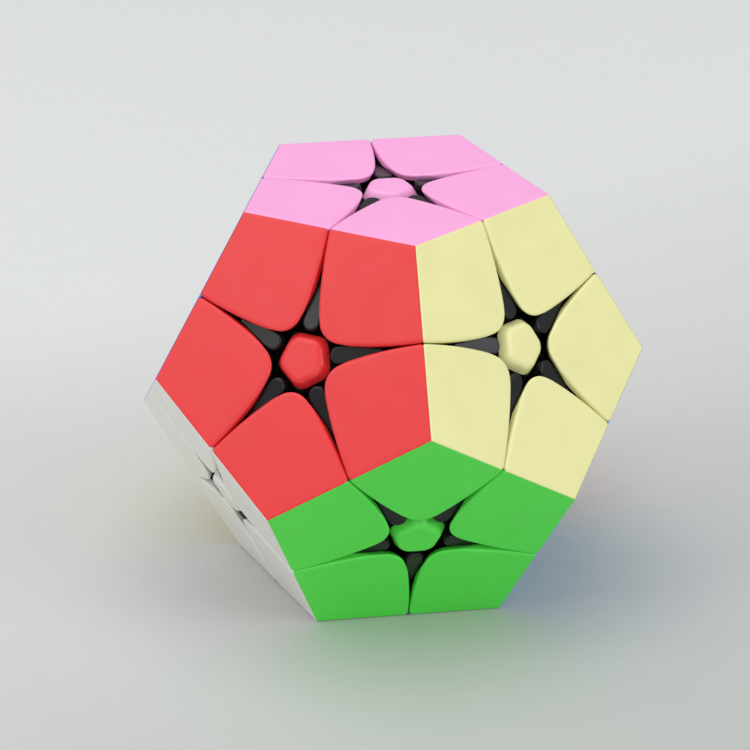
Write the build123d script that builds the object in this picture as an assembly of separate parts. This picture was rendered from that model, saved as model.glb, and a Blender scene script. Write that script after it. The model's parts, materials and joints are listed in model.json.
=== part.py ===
"""Dodecahedron twisty puzzle with twenty corner pieces, in millimetres.

The origin is the centre of the core, where the twelve turning axes meet. +Z is up, through the centre of
the pink face, and the puzzle stands on its purple face. -Y is the front, which the green face looks at.

All pieces are parted by one surface of revolution about each face axis, so that any layer can turn. From
the outside in it is a cone through the middles of the edges, a plane, a neck cone, and a wider foot cone:
the corners' feet are held under the hidden edges' wings, and the hidden edges' feet under the centres.
"""

from build123d import *
import math
import os

# ---- driving dimensions ----
EDGE = 30.0  # edge length of the dodecahedron
GAP = 0.2  # running gap between neighbouring pieces
FOOT_INNER = 12.0  # inner sphere of the feet
FOOT_OUTER = 15.5  # sphere over the feet
FOOT_ANGLE = 52.0
NECK_ANGLE = 45.0
SHELF = 17.87  # height of the flat part of the cut above the core's centre
TILE_THICK = 1.2  # coloured shells of a corner
TIP_RADIUS = 4.2  # rounding of a corner's three inner tips
TIP_DEPTH = 6.2  # how far below the face the rounding reaches
TIP_MARGIN = 2.0  # how far the cutter reaches beyond the edge it rounds
CORNER_WALL = 1.5
HOLLOW_FLOOR = 23.0  # radius of the floor of a corner's hollow
RIB_DEPTH = 0.5  # from the face down to the top of a hidden edge's rib
RIB_WIDTH = 2.8
RIB_START = 4.7  # from the face axis to the rib's round end
RIB_END = 13.0
RIB_SLOPE = 8.0  # fall of the rib's top away from the face axis, in degrees
RIB_ROUNDING = 0.3
SPINE_DEPTH = 5.0  # from the face down to the top of a hidden edge's spine
CAP_HEIGHT = 1.7
CAP_CORNER = 1.0  # rounding of a centre's five ridges
WAIST = 28.5  # lower end of the rounded ridges, above the core's centre
CAP_ROUNDING = 0.4
SPIGOT_RADIUS = 2.0  # plug under the cap
SPIGOT_LENGTH = 1.6
CENTRE_REACH = 11.0  # more than the radius of a centre
HUB_RADIUS = 9.0
STEM_RADIUS = 2.15
STEM_TOP = 15.3
PEG_RADIUS = 1.0  # pegs between the core's halves
PEG_CIRCLE = 5.4
PEG_HEIGHT = 2.0
PEG_HOLE = 2.2
PEG_TURN = 30.0
SEAT = 17.4  # floor of the screw pocket
POCKET_RADIUS = 2.75
SHANK_RADIUS = 1.25
SHANK_START = 9.6
BORE_START = 9.2  # bottom of the hub's screw holes
HEAD_START = 24.4
HEAD_HEIGHT = 1.8
HEAD_RADIUS = 2.4
HEAD_ROUNDING = 0.5
DRIVE_LENGTH = 3.4  # slots of the cross in the screw's head
DRIVE_WIDTH = 0.7
DRIVE_DEPTH = 1.0
WASHER_RADIUS = 2.55
WASHER_THICK = 0.4
SPRING_WIRE = 0.25  # wire radius
SPRING_RADIUS = 1.95
SPRING_TURNS = 6
RUNNING = 0.1  # radial clearance of a centre on its screw

# ---- proportions of a regular dodecahedron ----
PHI = (1 + math.sqrt(5)) / 2
INRADIUS = EDGE / 2 * math.sqrt(2.5 + 1.1 * math.sqrt(5))
MID_EDGE = math.degrees(math.atan(1 / PHI))  # face axis to the middle of one of its edges
CUT = math.degrees(math.atan(PHI))  # face axis to the edges that leave its vertices
RING_TILT = math.degrees(math.atan(0.5))
FAR = 70.0  # beyond everything
BESIDE = 0.9  # the axes of touching faces have a product below this, and above zero

UPPER = ["red", "cream", "grey", "lime", "blue"]
LOWER = ["green", "light_blue", "orange", "yellow", "white"]
RED_AZIMUTH = -126.0
GREEN_AZIMUTH = -90.0
TURNING = ["pink", "green", "yellow"]  # faces with a joint, which share no corner
CENTRED = (Align.CENTER, Align.CENTER, Align.MIN)


def direction(azimuth, elevation):
    a, e = math.radians(azimuth), math.radians(elevation)
    return Vector(math.cos(e) * math.cos(a), math.cos(e) * math.sin(a), math.sin(e))


def face_axes():
    """Each colour's outward axis."""
    axes = {"pink": Vector(0, 0, 1)}
    for turn, name in enumerate(UPPER):
        axes[name] = direction(RED_AZIMUTH + 72 * turn, RING_TILT)
    for turn, name in enumerate(LOWER):
        axes[name] = direction(GREEN_AZIMUTH + 72 * turn, -RING_TILT)
    axes["purple"] = Vector(0, 0, -1)
    return axes


FACES = face_axes()


def touching(a, b):
    return a != b and FACES[a].dot(FACES[b]) > 0


def edge_names():
    """The two colours of each hidden edge."""
    names = list(FACES)
    return [(a, b) for i, a in enumerate(names) for b in names[i + 1 :] if touching(a, b)]


def corner_names():
    """The three colours of each corner."""
    return [(a, b, c) for a, b in edge_names() for c in FACES if touching(a, c) and touching(b, c)
            and list(FACES).index(c) > list(FACES).index(b)]


# ---- placing and cutting ----
def frame_on(axis, toward):
    """The plane at the origin with +Z along axis and +X leaning towards the other direction."""
    return Plane(origin=(0, 0, 0), x_dir=toward - axis * axis.dot(toward), z_dir=axis)


def polar(radius, angle):
    a = math.radians(angle)
    return Vector(radius * math.sin(a), 0, radius * math.cos(a))


def arc(radius, start, end):
    return ThreePointArc(polar(radius, start), polar(radius, (start + end) / 2), polar(radius, end))


def crossing(angle, shift, radius):
    """The angle from +Z at which a cone, shifted outwards by its gap, passes a sphere."""
    return angle + math.degrees(math.asin(shift / radius))


def zone(shift):
    """The space that the layer about +Z owns, grown all round by shift."""
    floor, roof = FOOT_INNER - shift, FOOT_OUTER + shift
    shelf = SHELF - shift
    neck = math.radians(NECK_ANGLE)
    neck_radius = (shelf * math.sin(neck) + shift) / math.cos(neck)
    cut = math.radians(CUT)
    shelf_radius = (shelf * math.sin(cut) + shift) / math.cos(cut)
    far_radius = (FAR * math.sin(cut) + shift) / math.cos(cut)
    foot_in, foot_out = crossing(FOOT_ANGLE, shift, floor), crossing(FOOT_ANGLE, shift, roof)
    neck_foot = crossing(NECK_ANGLE, shift, roof)
    outline = [
        arc(floor, 0, foot_in),
        Line(polar(floor, foot_in), polar(roof, foot_out)),
        arc(roof, foot_out, neck_foot),
        Line(polar(roof, neck_foot), (neck_radius, 0, shelf)),
        Line((neck_radius, 0, shelf), (shelf_radius, 0, shelf)),
        Line((shelf_radius, 0, shelf), (far_radius, 0, FAR)),
        Line((far_radius, 0, FAR), (0, 0, FAR)),
        Line((0, 0, FAR), (0, 0, floor)),
    ]
    return revolve(make_face(outline), Axis.Z)


INNER_ZONE = zone(-GAP / 2)
OUTER_ZONE = zone(GAP / 2)
HOLLOW_ZONE = zone(-CORNER_WALL)


def zone_on(shape, axis, toward):
    """A zone about axis, with its seam on the side away from the piece."""
    return frame_on(axis, -toward) * shape


def below(axis, distance):
    """Everything on the inner side of a plane."""
    return Plane(origin=axis * distance, z_dir=axis) * Pos(0, 0, -FAR) * Box(3 * FAR, 3 * FAR, 2 * FAR)


def one(shape):
    found = shape.solids()
    if len(found) != 1:
        raise ValueError(f"expected one solid and got {len(found)}")
    return found[0]


def intersect(*shapes):
    result = shapes[0]
    for shape in shapes[1:]:
        result = result & shape
    return result


# ---- corner: a hollow black body with a foot, and three coloured shells ----
def tip_cutter(first, second):
    """What rounds the edge between the flat cuts of two neighbouring layers."""
    along = first.cross(second).normalized()
    inwards = (first + second).normalized()
    shift = SHELF + GAP / 2
    lean = math.radians(MID_EDGE)
    half = math.pi / 2 - lean
    vertex = shift / math.cos(lean)
    centre = vertex + TIP_RADIUS / math.sin(half)
    near = centre - TIP_RADIUS * math.sin(half)
    side = TIP_RADIUS * math.cos(half)
    tip = centre - TIP_RADIUS
    curve = ThreePointArc((near, side), (tip, 0), (near, -side))
    outer = vertex - TIP_MARGIN
    outline = [curve, Line((near, -side), (outer, 0)), Line((outer, 0), (near, side))]
    start = (INRADIUS - TIP_DEPTH) / math.cos(lean) - vertex * math.tan(lean)
    plane = Plane(origin=along * start, x_dir=inwards, z_dir=along)
    return extrude(plane * make_face(outline), FAR / 2)


def corner(axes):
    """The black body, and the shell on each of the three axes."""
    up = (axes[0] + axes[1] + axes[2]).normalized()
    whole = intersect(*[zone_on(INNER_ZONE, axis, up) for axis in axes])
    for a, b, c in (axes, axes[1:] + axes[:1], axes[2:] + axes[:2]):
        first, second = (a, b) if a.cross(b).dot(c) > 0 else (b, a)
        whole = whole - tip_cutter(first, second)
    inside = intersect(*[below(axis, INRADIUS - TILE_THICK) for axis in axes])
    body = whole & inside
    hollow = intersect(*[zone_on(HOLLOW_ZONE, axis, up) for axis in axes]) - Sphere(HOLLOW_FLOOR)
    body = one(body - hollow)
    shells = []
    for axis in axes:
        shell = whole & (below(axis, INRADIUS) - below(axis, INRADIUS - TILE_THICK))
        for other in axes:
            if other is not axis:
                shell = shell & below((other - axis).normalized(), 0)
        shells.append(one(shell))
    return body, shells


# ---- hidden edge: a black foot, wings and spine, with a flat rib under each face ----
def rib_slot(axis, toward):
    """The outline of a rib, extruded down from its flat and slightly sloping top."""
    outwards = (toward - axis * axis.dot(toward)).normalized()
    slope = math.radians(RIB_SLOPE)
    along = outwards * math.cos(slope) - axis * math.sin(slope)
    normal = axis * math.cos(slope) + outwards * math.sin(slope)
    plane = Plane(origin=axis * (INRADIUS - RIB_DEPTH) + outwards * RIB_START, x_dir=along, z_dir=normal)
    length = RIB_END - RIB_START - RIB_WIDTH / 2
    round_end = Pos(RIB_WIDTH / 2, 0) * Circle(RIB_WIDTH / 2)
    straight = Pos(RIB_WIDTH / 2 + length / 2, 0) * Rectangle(length, RIB_WIDTH)
    slot = extrude(plane * (round_end + straight), -2 * SPINE_DEPTH)
    top = slot.faces().sort_by_distance(axis * FAR)[0]
    return fillet(top.edges(), RIB_ROUNDING)


def hidden_edge(a, b):
    """The piece between two faces, whose axes are a and b."""
    middle = (a + b).normalized()
    whole = zone_on(INNER_ZONE, a, middle) & zone_on(INNER_ZONE, b, middle)
    for other in FACES.values():
        if 0 < other.dot(a) < BESIDE and 0 < other.dot(b) < BESIDE:
            whole = whole - zone_on(OUTER_ZONE, other, middle)
    spine = intersect(whole, below(a, INRADIUS - SPINE_DEPTH), below(b, INRADIUS - SPINE_DEPTH))
    ribs = rib_slot(a, b) + rib_slot(b, a)
    return one(spine + (whole & ribs))


# ---- centre: a coloured cap on a black base that turns on its screw ----
def around(axis):
    """The axes of the five faces that touch the face of this axis."""
    return [other for other in FACES.values() if 0 < other.dot(axis) < BESIDE]


def rounded_ridges(block):
    """A five-sided block about +Z, with its side ridges rounded."""
    block = one(block)
    middle = block.bounding_box().size.Z / 2
    ridges = [edge for edge in block.edges() if edge.bounding_box().size.Z > middle]
    return fillet(ridges, CAP_CORNER)


def centre(colour):
    """The cap and the base of one face, made about +Z and meant for the pink face."""
    axis = FACES[colour]
    whole = Cylinder(CENTRE_REACH, FAR, align=CENTRED) - Sphere(FOOT_OUTER + GAP / 2)
    for other in around(axis):
        whole = whole - zone_on(OUTER_ZONE, other, axis)
    split = INRADIUS - CAP_HEIGHT
    cap = rounded_ridges(whole & below(axis, INRADIUS) - below(axis, split))
    cap = fillet(cap.faces().sort_by(Axis.Z)[-1].edges(), CAP_ROUNDING)
    cap = cap + Pos(0, 0, split - SPIGOT_LENGTH) * Cylinder(SPIGOT_RADIUS, SPIGOT_LENGTH, align=CENTRED)
    waist = whole & below(axis, split) - below(axis, WAIST)
    base = whole & below(axis, WAIST)
    base = base + rounded_ridges(waist)
    base = base - Pos(0, 0, SEAT) * Cylinder(POCKET_RADIUS, FAR, align=CENTRED)
    base = base - Cylinder(SHANK_RADIUS + RUNNING, FAR, align=CENTRED)
    return one(cap), one(base)


# ---- core, screws, washers and springs ----
def screw():
    shank = Pos(0, 0, SHANK_START) * Cylinder(SHANK_RADIUS, HEAD_START - SHANK_START, align=CENTRED)
    head = Pos(0, 0, HEAD_START) * Cylinder(HEAD_RADIUS, HEAD_HEIGHT, align=CENTRED)
    head = fillet(head.edges().filter_by(GeomType.CIRCLE).sort_by(Axis.Z)[-1], HEAD_ROUNDING)
    slot = Box(DRIVE_LENGTH, DRIVE_WIDTH, DRIVE_DEPTH, align=CENTRED)
    cross = slot + Rot(0, 0, 90) * slot
    return one(shank + head - Pos(0, 0, HEAD_START + HEAD_HEIGHT - DRIVE_DEPTH) * cross)


def washer():
    ring = Cylinder(WASHER_RADIUS, WASHER_THICK, align=CENTRED)
    ring = ring - Cylinder(SHANK_RADIUS + RUNNING / 2, WASHER_THICK, align=CENTRED)
    return one(Pos(0, 0, HEAD_START - WASHER_THICK) * ring)


def spring():
    """A coil between the pocket's floor and the washer."""
    room = HEAD_START - WASHER_THICK - SEAT
    height = room - 2 * SPRING_WIRE - GAP
    coil = Helix(height / SPRING_TURNS, height, SPRING_RADIUS)
    section = Plane(origin=coil @ 0, z_dir=coil % 0) * Circle(SPRING_WIRE)
    wire = sweep(section, path=coil, is_frenet=True)
    return one(Pos(0, 0, SEAT + SPRING_WIRE + GAP / 2) * wire)


def hub():
    ball = Sphere(HUB_RADIUS)
    for axis in FACES.values():
        plane = Plane(origin=(0, 0, 0), z_dir=axis)
        ball = ball + plane * Cylinder(STEM_RADIUS, STEM_TOP, align=CENTRED)
    for axis in FACES.values():
        plane = Plane(origin=(0, 0, 0), z_dir=axis)
        ball = ball - plane * Pos(0, 0, BORE_START) * Cylinder(SHANK_RADIUS, FAR, align=CENTRED)
    return ball


def hub_halves():
    """The upper and the lower half, joined by three pegs."""
    ball = hub()
    upper_half = ball & Pos(0, 0, FAR / 2) * Box(FAR, FAR, FAR)
    lower_half = ball & Pos(0, 0, -FAR / 2) * Box(FAR, FAR, FAR)
    for turn in range(3):
        place = Rot(0, 0, 120 * turn + PEG_TURN) * Pos(PEG_CIRCLE, 0, 0)
        lower_half = lower_half + place * Cylinder(PEG_RADIUS, PEG_HEIGHT, align=CENTRED)
        upper_half = upper_half - place * Cylinder(PEG_RADIUS, PEG_HOLE, align=CENTRED)
    return one(upper_half), one(lower_half)


# ---- assembly ----
def layer_of(colours):
    """The turning layer that a piece of these colours rides in, or fixed."""
    return next((c for c in TURNING if c in colours), "fixed")


def frame_of(colour):
    """The place of a part made on the pink face, on another face."""
    axis = FACES[colour]
    other = around(axis)[0]
    start = frame_on(FACES["pink"], around(FACES["pink"])[0]).location
    return frame_on(axis, other).location * start.inverse()


def write(name, solids, colour):
    """One node, as a compound of its separate solids."""
    node = Compound(children=list(solids))
    node.label = name
    node.color = colour
    export_step(node, f"parts/{name}.step")


def main():
    os.makedirs("parts", exist_ok=True)
    black = Color(0.03, 0.03, 0.035)
    steel = Color(0.6, 0.6, 0.62)
    first = corner_names()[0]
    body, shells = corner([FACES[c] for c in first])
    start = frame_on(FACES[first[0]], FACES[first[1]]).location
    for colours in corner_names():
        a, b, c = [FACES[colour] for colour in colours]
        same_hand = a.cross(b).dot(c) * FACES[first[0]].cross(FACES[first[1]]).dot(FACES[first[2]]) > 0
        ordered = colours if same_hand else (colours[1], colours[0], colours[2])
        place = frame_on(FACES[ordered[0]], FACES[ordered[1]]).location * start.inverse()
        write("corner_" + "_".join(colours), [place * s for s in (body, *shells)], black)
    groups = {}
    first = edge_names()[0]
    rib = hidden_edge(FACES[first[0]], FACES[first[1]])
    start = frame_on(FACES[first[0]], FACES[first[1]]).location
    for colours in edge_names():
        place = frame_on(FACES[colours[0]], FACES[colours[1]]).location * start.inverse()
        groups.setdefault(layer_of(colours), []).append(place * rib)
    for layer, solids in groups.items():
        write(f"hidden_edges_{layer}_layer", solids, black)
    cap, base = centre("pink")
    for colour in FACES:
        write(f"centre_cap_{colour}", [frame_of(colour) * cap], black)
        write(f"centre_base_{colour}", [frame_of(colour) * base], black)
    fasteners = {"tension_screws": screw(), "spring_washers": washer(), "tension_springs": spring()}
    for name, solid in fasteners.items():
        write(name, [frame_of(colour) * solid for colour in FACES], steel)
    upper_half, lower_half = hub_halves()
    write("core_upper_half", [upper_half], black)
    write("core_lower_half", [lower_half], black)


main()
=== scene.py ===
"""The twelve-faced twisty puzzle on a pale seamless floor, in metres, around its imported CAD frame.

The frame gives every place: +Z is the pink face's axis, and the origin is the core's centre. Corner shells
and centre caps are mesh code, lofted from the outline that the turning cuts leave on a face.
"""

import json
import math

import bpy
import numpy as np
from mathutils import Matrix, Vector


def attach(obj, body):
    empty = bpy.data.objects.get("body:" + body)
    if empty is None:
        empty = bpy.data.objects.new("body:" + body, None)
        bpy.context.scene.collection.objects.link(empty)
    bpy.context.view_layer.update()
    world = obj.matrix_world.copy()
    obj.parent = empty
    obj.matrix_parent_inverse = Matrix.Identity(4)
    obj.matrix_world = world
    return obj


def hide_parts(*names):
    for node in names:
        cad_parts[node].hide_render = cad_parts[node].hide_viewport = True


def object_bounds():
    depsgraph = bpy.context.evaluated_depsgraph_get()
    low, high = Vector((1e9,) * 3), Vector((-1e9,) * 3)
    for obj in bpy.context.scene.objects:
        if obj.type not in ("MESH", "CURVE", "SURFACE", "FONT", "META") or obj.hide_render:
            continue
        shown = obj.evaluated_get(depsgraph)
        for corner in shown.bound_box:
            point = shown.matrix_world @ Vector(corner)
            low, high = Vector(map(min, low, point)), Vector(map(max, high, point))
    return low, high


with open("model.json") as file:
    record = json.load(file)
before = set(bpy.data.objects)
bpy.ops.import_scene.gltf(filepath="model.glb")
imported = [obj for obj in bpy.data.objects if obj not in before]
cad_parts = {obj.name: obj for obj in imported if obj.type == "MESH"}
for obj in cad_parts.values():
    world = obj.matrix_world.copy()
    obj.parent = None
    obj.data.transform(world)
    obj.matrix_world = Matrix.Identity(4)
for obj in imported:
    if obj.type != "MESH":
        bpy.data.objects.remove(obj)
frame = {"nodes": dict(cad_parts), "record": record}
cad_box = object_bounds()
NODES = frame["nodes"]
BODY_OF = {n: body for body, members in frame["record"]["behaviour"]["bodies"].items() for n in members}

MM = 0.001
INRADIUS = -cad_box[0][2] / MM
PHI = (1 + math.sqrt(5)) / 2
APOTHEM = INRADIUS / PHI

# ---- the cut between layers and the coloured pieces, as in the CAD model, in millimetres ----
SHELF = 17.87
CUT = math.atan(PHI)  # slope of the cut's cone
SHELL_THICK = 1.2
TIP_RADIUS = 4.2
CAP_HEIGHT = 1.7

# ---- fuller than the CAD model, so that less light shows through the cuts ----
HALF_GAP = 0.07  # beside a shell or a cap, and 0.1 in the CAD model
GROWTH = 0.05  # what the black pieces gain on every side

# ---- moulded details that only this scene has ----
SHELL_EDGE = 0.42  # rounding of a shell's outer rim
SEAM_EDGE = 0.50  # rounding over the seam between two shells
SEAM_GAP = 0.012
SEAM_TURN = math.atan(1 / PHI)  # half the angle between the normals of touching faces
SEAM_BLEND = 0.6  # the stretch over which one rounding passes into the other
PLAN_RADIUS = 0.35
CAP_EDGE = 0.5
CAP_CORNER = 1.25

# ---- how finely the coloured pieces are drawn ----
OUTREACH = 30.0  # longer than any ray across a piece
HALVINGS = 30
TOP_RINGS = (0.35, 0.7, 0.93)  # shares of the way from the middle to the rim
RIM_STEPS = 6
CLOSEST_ANGLE = 0.12
SHELL_STEPS, SHELL_LEVELS = 108, 5
CAP_STEPS, CAP_LEVELS = 160, 6
NEAR_CORNER = (0.3, 0.7, 1.1, 1.6, 2.3, 3.3)
SHELL_CREASE = math.radians(42)
BODY_CREASE = math.radians(25)

UPPER = ["red", "cream", "grey", "lime", "blue"]
LOWER = ["green", "light_blue", "orange", "yellow", "white"]
RED_AZIMUTH = -126.0
GREEN_AZIMUTH = -90.0
RING_TILT = math.atan(0.5)


# ---- face axes ----
def direction(azimuth, elevation):
    a = math.radians(azimuth)
    level = math.cos(elevation)
    return Vector((level * math.cos(a), level * math.sin(a), math.sin(elevation)))


def face_axes():
    axes = {"pink": Vector((0, 0, 1))}
    for turn, name in enumerate(UPPER):
        axes[name] = direction(RED_AZIMUTH + 72 * turn, RING_TILT)
    for turn, name in enumerate(LOWER):
        axes[name] = direction(GREEN_AZIMUTH + 72 * turn, -RING_TILT)
    axes["purple"] = Vector((0, 0, -1))
    return axes


FACES = face_axes()


def place_on(axis, toward):
    """The rotation that takes +Z to axis and +X to lean towards the other direction."""
    z = axis.normalized()
    x = (toward - z * z.dot(toward)).normalized()
    y = z.cross(x)
    return Matrix((x, y, z)).transposed().to_4x4()


# ---- the outline left on a face by the cuts of the layers around it ----
def neighbour(azimuth):
    """A neighbouring face's axis, seen from a face whose axis is +Z."""
    tilt = math.atan(2)
    a = math.radians(azimuth)
    return np.array([math.sin(tilt) * math.cos(a), math.sin(tilt) * math.sin(a), math.cos(tilt)])


def cut_inside(point, axis):
    """How far a point is inside the layer of an axis."""
    height = float(point @ axis)
    radius = math.sqrt(max(float(point @ point) - height * height, 0.0))
    cone = height * math.sin(CUT) - radius * math.cos(CUT)
    return height - SHELF - HALF_GAP, cone - HALF_GAP


def rounded_min(a, b, radius):
    """The nearer of two walls, with their corner rounded."""
    if a < radius and b < radius:
        return radius - math.hypot(radius - a, radius - b)
    return min(a, b)


def tip_min(a, b, point, first, second):
    """The nearer of two flat cuts, with the kite's inner tip rounded."""
    cosine = float(first @ second)
    da, db = a - TIP_RADIUS, b - TIP_RADIUS
    along_a = (da - cosine * db) / (1 - cosine**2)
    along_b = (db - cosine * da) / (1 - cosine**2)
    if along_a < 0 and along_b < 0:
        size = along_a**2 + along_b**2 + 2 * along_a * along_b * cosine
        return TIP_RADIUS - math.sqrt(size)
    return min(a, b)


SIDES = [neighbour(36), neighbour(-36)]
MITRES = [(np.array([0, 0, 1.0]) - side) / np.linalg.norm(np.array([0, 0, 1.0]) - side) for side in SIDES]


def shell_walls(point):
    """How far a point is inside a shell's cut sides, and inside its seams with its two neighbours."""
    flats, cones = zip(*[cut_inside(point, side) for side in SIDES])
    tip = tip_min(flats[0], flats[1], point, SIDES[0], SIDES[1])
    return min(tip, *cones), min(float(point @ mitre) for mitre in MITRES) - SEAM_GAP


def cap_walls(point):
    """How far a point is inside a centre cap, which has no seam."""
    walls = sorted(SHELF - HALF_GAP - float(point @ neighbour(72 * k)) for k in range(5))
    return rounded_min(walls[0], walls[1], CAP_CORNER), OUTREACH


def edge_at(walls, centre, angle, z, trims):
    """Where a ray from the centre leaves the outline at this height, and how much of a seam is there."""
    low, high = 0.0, OUTREACH
    across, along = math.cos(angle), math.sin(angle)
    for _ in range(HALVINGS):
        middle = (low + high) / 2
        cut, seam = walls(np.array([centre + across * middle, along * middle, z]))
        if rounded_min(cut - trims[0], seam - trims[1], PLAN_RADIUS) > 0:
            low = middle
        else:
            high = middle
    cut, seam = walls(np.array([centre + across * low, along * low, z]))
    return centre + across * low, along * low, min(max((cut - seam) / SEAM_BLEND, 0.0), 1.0)


def rim_point(walls, centre, angle, top, edge, share):
    """A point of the rounded rim: share 0 is where it leaves the flat top, and 1 is at the side."""
    turn = math.radians(90 * share)
    cut_trim, cut_drop = edge * (1 - math.sin(turn)), edge * (1 - math.cos(turn))
    tilt = SEAM_TURN * share
    seam_drop = SEAM_EDGE * (1 - math.cos(tilt))
    reach = SEAM_EDGE * (math.tan(SEAM_TURN) - math.sin(tilt))
    seam_trim = (reach - seam_drop * math.tan(SEAM_TURN)) * math.cos(SEAM_TURN)
    trims = (cut_trim, max(seam_trim, 0.0))
    x, y, seamed = edge_at(walls, centre, angle, top - cut_drop, trims)
    z = top - cut_drop + (cut_drop - seam_drop) * seamed
    x, y, seamed = edge_at(walls, centre, angle, z, trims)
    return x, y, z


def spread(corners, steps, near):
    """Angles round an outline, closer together at its corners."""
    angles = {round(360 * k / steps, 4) for k in range(steps)}
    for corner in corners:
        angles |= {round((corner + d) % 360, 4) for n in near for d in (-n, n)}
        angles.add(round(corner % 360, 4))
    ordered = sorted(angles)
    kept = [a for a, b in zip(ordered, ordered[1:] + [ordered[0] + 360]) if b - a > CLOSEST_ANGLE]
    return [math.radians(a) for a in kept]


def loft(walls, centre, top, thickness, edge, angles, levels):
    """A closed block: flat top, rounded rim, side walls and flat bottom. Also each vertex's share of rim."""
    outer = [rim_point(walls, centre, a, top, edge, 0) for a in angles]
    rings = []
    rim = []
    for share in TOP_RINGS:
        rings.append([(centre + (x - centre) * share, y * share, z) for x, y, z in outer])
        rim.append(0.0)
    for k in range(RIM_STEPS + 1):
        rings.append([rim_point(walls, centre, a, top, edge, k / RIM_STEPS) for a in angles])
        rim.append(math.sin(math.pi * k / RIM_STEPS))
    for k in range(1, levels + 1):
        z = top - edge - (thickness - edge) * k / levels
        rings.append([(*edge_at(walls, centre, a, z, (0.0, 0.0))[:2], z) for a in angles])
        rim.append(0.0)
    floor = rings[-1]
    rings.append([(centre + (x - centre) * 0.5, y * 0.5, z) for x, y, z in floor])
    rim.append(0.0)
    count = len(angles)
    points = [p for ring in rings for p in ring]
    worn = [w for w in rim for _ in range(count)]
    faces = []
    for r in range(len(rings) - 1):
        for k in range(count):
            n = (k + 1) % count
            faces.append((r * count + k, (r + 1) * count + k, (r + 1) * count + n, r * count + n))
    first, last = len(points), len(points) + 1
    points += [(centre, 0.0, top), (centre, 0.0, floor[0][2])]
    worn += [0.0, 0.0]
    base = (len(rings) - 1) * count
    for k in range(count):
        n = (k + 1) % count
        faces.append((first, k, n))
        faces.append((last, base + n, base + k))
    return points, faces, worn


# ---- materials ----
MOTTLE = (0.965, 1.02)  # darkest and palest share of a colour
SPECKLE = (0.0, 0.10)  # how much of the darker shade shows
SPECKLE_SHADE = 0.86
WORN_WHITE = 0.12  # white in a worn rim's colour
WEAR = (0.0, 0.2, 0.45, 0.7)  # least and most wear, and the noise where they begin
GLOSS_SPREAD = (-0.02, 0.05)
GRAIN_STRENGTH, GRAIN_HEIGHT = 0.10, 0.02
WAVE_STRENGTH, WAVE_HEIGHT = 0.15, 0.05


def new_material(name):
    material = bpy.data.materials.new(name)
    material.use_nodes = True
    tree = material.node_tree
    return material, tree, tree.nodes["Principled BSDF"]


def noise(tree, scale, detail=3.0, roughness=0.5):
    """Noise in object space, with its scale in features a millimetre."""
    where = tree.nodes.new("ShaderNodeTexCoord")
    node = tree.nodes.new("ShaderNodeTexNoise")
    node.inputs["Scale"].default_value = scale / MM
    node.inputs["Detail"].default_value = detail
    node.inputs["Roughness"].default_value = roughness
    tree.links.new(where.outputs["Object"], node.inputs["Vector"])
    return node


def ranged(tree, source, low, high, start=0.3, end=0.7):
    node = tree.nodes.new("ShaderNodeMapRange")
    node.inputs["From Min"].default_value = start
    node.inputs["From Max"].default_value = end
    node.inputs["To Min"].default_value = low
    node.inputs["To Max"].default_value = high
    tree.links.new(source, node.inputs["Value"])
    return node.outputs["Result"]


def mixed(tree, factor, first, second):
    node = tree.nodes.new("ShaderNodeMix")
    node.data_type = "RGBA"
    for socket, value in ((6, first), (7, second)):
        if isinstance(value, tuple):
            node.inputs[socket].default_value = (*value, 1)
        else:
            tree.links.new(value, node.inputs[socket])
    tree.links.new(factor, node.inputs[0])
    return node.outputs[2]


def shade(colour, factor):
    return tuple(min(c * factor, 1.0) for c in colour)


def bump(tree, height, strength, distance):
    node = tree.nodes.new("ShaderNodeBump")
    node.inputs["Strength"].default_value = strength
    node.inputs["Distance"].default_value = distance * MM
    tree.links.new(height.outputs["Fac"], node.inputs["Height"])
    return node


def plastic(name, colour, roughness=0.31, wear=True, ior=1.5):
    """Moulded satin plastic: fine grain, faint mottling, uneven gloss and paler worn rims."""
    material, tree, shader = new_material(name)
    cloudy = noise(tree, 0.12, 4.0)
    speckle = noise(tree, 3.0, 2.0)
    darkest, palest = [shade(colour, share) for share in MOTTLE]
    body = mixed(tree, ranged(tree, cloudy.outputs["Fac"], 0, 1), darkest, palest)
    body = mixed(tree, ranged(tree, speckle.outputs["Fac"], *SPECKLE), body, shade(colour, SPECKLE_SHADE))
    if wear:
        rim = tree.nodes.new("ShaderNodeAttribute")
        rim.attribute_name = "rim"
        pale = tuple((1 - WORN_WHITE) * c + WORN_WHITE for c in colour)
        scuffs = noise(tree, 0.5, 5.0, 0.65)
        amount = tree.nodes.new("ShaderNodeMath")
        amount.operation = "MULTIPLY"
        tree.links.new(rim.outputs["Fac"], amount.inputs[0])
        tree.links.new(ranged(tree, scuffs.outputs["Fac"], *WEAR), amount.inputs[1])
        body = mixed(tree, amount.outputs[0], body, pale)
    tree.links.new(body, shader.inputs["Base Color"])
    gloss = noise(tree, 0.25, 1.0)
    uneven = ranged(tree, gloss.outputs["Fac"], *[roughness + change for change in GLOSS_SPREAD])
    tree.links.new(uneven, shader.inputs["Roughness"])
    fine = bump(tree, noise(tree, 5.0, 2.0), GRAIN_STRENGTH, GRAIN_HEIGHT)
    broad = bump(tree, noise(tree, 0.10, 1.0), WAVE_STRENGTH, WAVE_HEIGHT)
    tree.links.new(fine.outputs["Normal"], broad.inputs["Normal"])
    tree.links.new(broad.outputs["Normal"], shader.inputs["Normal"])
    shader.inputs["IOR"].default_value = ior
    return material


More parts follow.
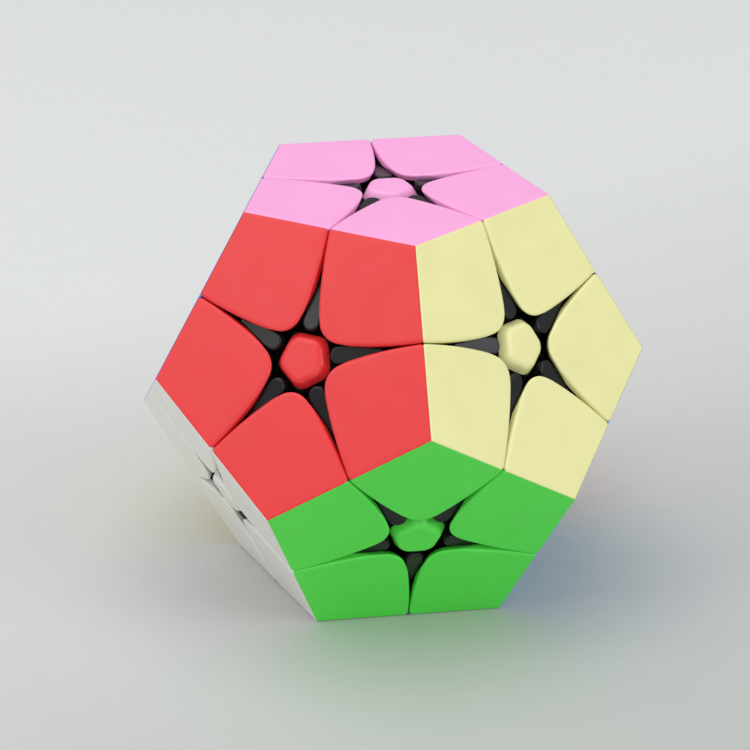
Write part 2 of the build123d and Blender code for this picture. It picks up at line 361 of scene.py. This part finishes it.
def steel(name):
    """Drawn and turned steel, with fine scratches."""
    material, tree, shader = new_material(name)
    streaks = noise(tree, 1.6, 6.0, 0.7)
    tint = mixed(tree, ranged(tree, streaks.outputs["Fac"], 0, 1), (0.50, 0.50, 0.52), (0.66, 0.66, 0.68))
    tree.links.new(tint, shader.inputs["Base Color"])
    tree.links.new(ranged(tree, streaks.outputs["Fac"], 0.22, 0.42), shader.inputs["Roughness"])
    shader.inputs["Metallic"].default_value = 1.0
    return material


COLOURS = {
    "pink": (0.97, 0.39, 0.72),
    "red": (0.83, 0.030, 0.032),
    "cream": (0.88, 0.845, 0.40),
    "grey": (0.17, 0.175, 0.185),
    "lime": (0.40, 0.66, 0.06),
    "blue": (0.025, 0.10, 0.50),
    "green": (0.09, 0.78, 0.072),
    "light_blue": (0.20, 0.53, 0.80),
    "orange": (0.86, 0.22, 0.025),
    "yellow": (0.88, 0.70, 0.05),
    "white": (0.84, 0.83, 0.765),
    "purple": (0.16, 0.05, 0.34),
}
PLASTICS = {name: plastic(name + "_plastic", colour) for name, colour in COLOURS.items()}
BLACK = plastic("black_moulding", (0.009, 0.009, 0.010), 0.25, wear=False, ior=1.4)
INNER = plastic("inner_moulding", (0.006, 0.006, 0.006), 0.55, wear=False, ior=1.25)
STEEL = steel("spring_steel")


# ---- pieces ----
def add_mesh(name, points, faces, place, material, worn=None):
    mesh = bpy.data.meshes.new(name)
    mesh.from_pydata([Vector(p) * MM for p in points], [], faces)
    mesh.transform(place)
    mesh.polygons.foreach_set("use_smooth", [True] * len(mesh.polygons))
    mesh.set_sharp_from_angle(angle=SHELL_CREASE)
    if worn:
        mesh.attributes.new("rim", "FLOAT", "POINT").data.foreach_set("value", worn)
    mesh.materials.append(material)
    piece = bpy.data.objects.new(name, mesh)
    bpy.context.scene.collection.objects.link(piece)
    even = piece.modifiers.new("even shading", "WEIGHTED_NORMAL")
    even.keep_sharp = True
    return piece


KITE_MIDDLE = 0.60 * APOTHEM
mid_edge = (APOTHEM * math.cos(math.radians(36)) - KITE_MIDDLE, APOTHEM * math.sin(math.radians(36)))
SHOULDER = math.degrees(math.atan2(mid_edge[1], mid_edge[0]))
SHELL = loft(shell_walls, KITE_MIDDLE, INRADIUS, SHELL_THICK, SHELL_EDGE,
             spread((0, SHOULDER, -SHOULDER), SHELL_STEPS, NEAR_CORNER), SHELL_LEVELS)
CAP = loft(cap_walls, 0.0, INRADIUS, CAP_HEIGHT, CAP_EDGE, spread((), CAP_STEPS, ()), CAP_LEVELS)
WELD_GRID = 1e7  # vertices this near, in parts of a metre, are one
SHAVE = 0.01  # how far above the shells' undersides the body may reach
FACING_IN = -0.9


def colours_of(node):
    """The colours in a corner's name."""
    rest = node[len("corner_"):].replace("light_blue", "light-blue")
    return [word.replace("-", "_") for word in rest.split("_")]


def body_mesh(node, colours):
    """The black body of a corner, out of its CAD node: what is under the shells, less their undersides."""
    mesh = NODES[node].data
    axes = [FACES[c] for c in colours]
    level = (INRADIUS - SHELL_THICK + SHAVE) * MM
    places = {}
    keys = [tuple(round(c * WELD_GRID) for c in v.co) for v in mesh.vertices]
    index = [places.setdefault(key, len(places)) for key in keys]
    faces = []
    for polygon in mesh.polygons:
        corners = [mesh.vertices[v].co for v in polygon.vertices]
        if any(co.dot(axis) > level for co in corners for axis in axes):
            continue
        flat = [all(co.dot(axis) > level - 2 * SHAVE * MM for co in corners) for axis in axes]
        if any(on and polygon.normal.dot(axis) < FACING_IN for on, axis in zip(flat, axes)):
            continue
        face = tuple(index[v] for v in polygon.vertices)
        if len(set(face)) == len(face):
            faces.append(face)
    used = sorted({v for face in faces for v in face})
    renumber = {v: k for k, v in enumerate(used)}
    points = [Vector(key) / (WELD_GRID * MM) for key in places]
    return [points[v] for v in used], [tuple(renumber[v] for v in face) for face in faces]


def make_corner(node):
    """The black body, and a coloured shell on each of its three faces."""
    colours = colours_of(node)
    outwards = sum((FACES[c] for c in colours), Vector())
    points, faces = body_mesh(node, colours)
    body = add_mesh(node.replace("corner", "corner_body"), points, faces, Matrix(), BLACK)
    body.data.set_sharp_from_angle(angle=BODY_CREASE)
    pieces = [body]
    for colour in colours:
        place = place_on(FACES[colour], outwards)
        name = node.replace("corner", "shell") + "." + colour
        piece = add_mesh(name, SHELL[0], SHELL[1], place, PLASTICS[colour], SHELL[2])
        pieces.append(piece)
    close_gaps(body)
    for piece in pieces:
        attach(piece, BODY_OF[node])
        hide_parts(node)


def close_gaps(piece):
    """Grow a black piece a little, so that no light shows through the cuts from side to side."""
    grown = piece.modifiers.new("fuller", "DISPLACE")
    grown.mid_level = 0.0
    grown.strength = GROWTH * MM


def make_cap(node):
    colour = node[len("centre_cap_"):]
    axis = FACES[colour]
    toward = next(other for other in FACES.values() if 0 < other.dot(axis) < 0.9)
    piece = add_mesh("cap_" + colour, CAP[0], CAP[1], place_on(axis, toward), PLASTICS[colour], CAP[2])
    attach(piece, BODY_OF[node])
    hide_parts(node)


def dress(node):
    """A CAD part whose shape is right gets its material."""
    kept = NODES[node]
    material = INNER
    if node in ("tension_screws", "tension_springs", "spring_washers"):
        material = STEEL
    elif node.startswith("hidden_edges"):
        material = BLACK
    kept.data.materials.clear()
    kept.data.materials.append(material)
    if node.startswith(("hidden_edges", "centre_base")):
        close_gaps(kept)


for name in sorted(NODES):
    if name.startswith("corner_"):
        make_corner(name)
    elif name.startswith("centre_cap_"):
        make_cap(name)
    else:
        dress(name)


# ---- floor, lights and camera ----
FLOOR_HALF = 3.0
PAPER = ((0.705, 0.71, 0.70), (0.73, 0.735, 0.725))
# painted shade: the darker paper tone, the direction it darkens towards (front right) and the stretch in
# metres over which it fades in
PAINTED_SHADE_TONE = (0.44, 0.445, 0.425)
PAINTED_SHADE_DIRECTION = (0.45, -0.89, 0.0)
PAINTED_SHADE_RANGE = (-0.12, 0.12)


def make_floor():
    """A seamless sheet under the puzzle, wide enough for every view. Its paper is darkened towards the front
    right, as painted shade for the lamps' light falling off there.
    """
    mesh = bpy.data.meshes.new("floor")
    z = -INRADIUS * MM
    signs = ((-1, -1), (1, -1), (1, 1), (-1, 1))
    mesh.from_pydata([(a * FLOOR_HALF, b * FLOOR_HALF, z) for a, b in signs], [], [(0, 1, 2, 3)])
    material, tree, shader = new_material("backdrop_paper_painted_shade")
    fibres = noise(tree, 0.4, 6.0, 0.7)
    paper = mixed(tree, ranged(tree, fibres.outputs["Fac"], 0, 1), *PAPER)
    where = tree.nodes.new("ShaderNodeTexCoord")
    along = tree.nodes.new("ShaderNodeVectorMath")
    along.operation = "DOT_PRODUCT"
    along.inputs[1].default_value = PAINTED_SHADE_DIRECTION
    tree.links.new(where.outputs["Object"], along.inputs[0])
    # painted shade: the paper darkens towards the front right, where the lamps' light falls off
    painted_shade_share = ranged(tree, along.outputs["Value"], 0, 1, *PAINTED_SHADE_RANGE)
    tint = mixed(tree, painted_shade_share, paper, PAINTED_SHADE_TONE)
    tree.links.new(tint, shader.inputs["Base Color"])
    shader.inputs["Roughness"].default_value = 0.7
    mesh.materials.append(material)
    floor = bpy.data.objects.new("floor", mesh)
    bpy.context.scene.collection.objects.link(floor)


def add_light(name, place, size, power, colour=(1, 1, 1)):
    lamp = bpy.data.lights.new(name, "AREA")
    lamp.shape = "DISK"
    lamp.size = size
    lamp.energy = power
    lamp.color = colour
    light = bpy.data.objects.new(name, lamp)
    light.location = place
    light.rotation_euler = (-Vector(place)).to_track_quat("-Z", "Y").to_euler()
    bpy.context.scene.collection.objects.link(light)


def make_lights():
    bpy.context.scene.view_settings.view_transform = "Standard"
    world = bpy.data.worlds.new("studio")
    bpy.context.scene.world = world
    world.use_nodes = True
    sky = world.node_tree.nodes["Background"]
    sky.inputs["Color"].default_value = (0.93, 0.96, 1.0, 1)
    sky.inputs["Strength"].default_value = 0.49
    add_light("overhead", (-0.15, 0.12, 1.1), 1.4, 6.8)
    add_light("left", (-1.03, -0.32, 0.76), 0.8, 3.2)
    add_light("front", (-0.25, -1.3, 0.35), 0.9, 3.3)
    add_light("front_right", (0.9, -0.7, 0.6), 0.8, 4)


# ---- millimetres and degrees; the azimuth runs from straight in front, the elevation from level ----
CAMERA_DISTANCE = 543.8
CAMERA_AZIMUTH = -8.68
CAMERA_ELEVATION = 24.86
AIM_LEFT = 2.31
LENS = 159.8


def make_camera():
    data = bpy.data.cameras.new("camera")
    data.lens = LENS
    data.sensor_width = 36
    data.clip_start = 0.01
    camera = bpy.data.objects.new("camera", data)
    a, e = math.radians(CAMERA_AZIMUTH), math.radians(CAMERA_ELEVATION)
    back = Vector((math.sin(a) * math.cos(e), -math.cos(a) * math.cos(e), math.sin(e)))
    right = Vector((math.cos(a), math.sin(a), 0))
    camera.location = (back * CAMERA_DISTANCE - right * AIM_LEFT) * MM
    camera.rotation_euler = back.to_track_quat("Z", "Y").to_euler()
    bpy.context.scene.collection.objects.link(camera)
    bpy.context.scene.camera = camera


make_floor()
make_lights()
make_camera()
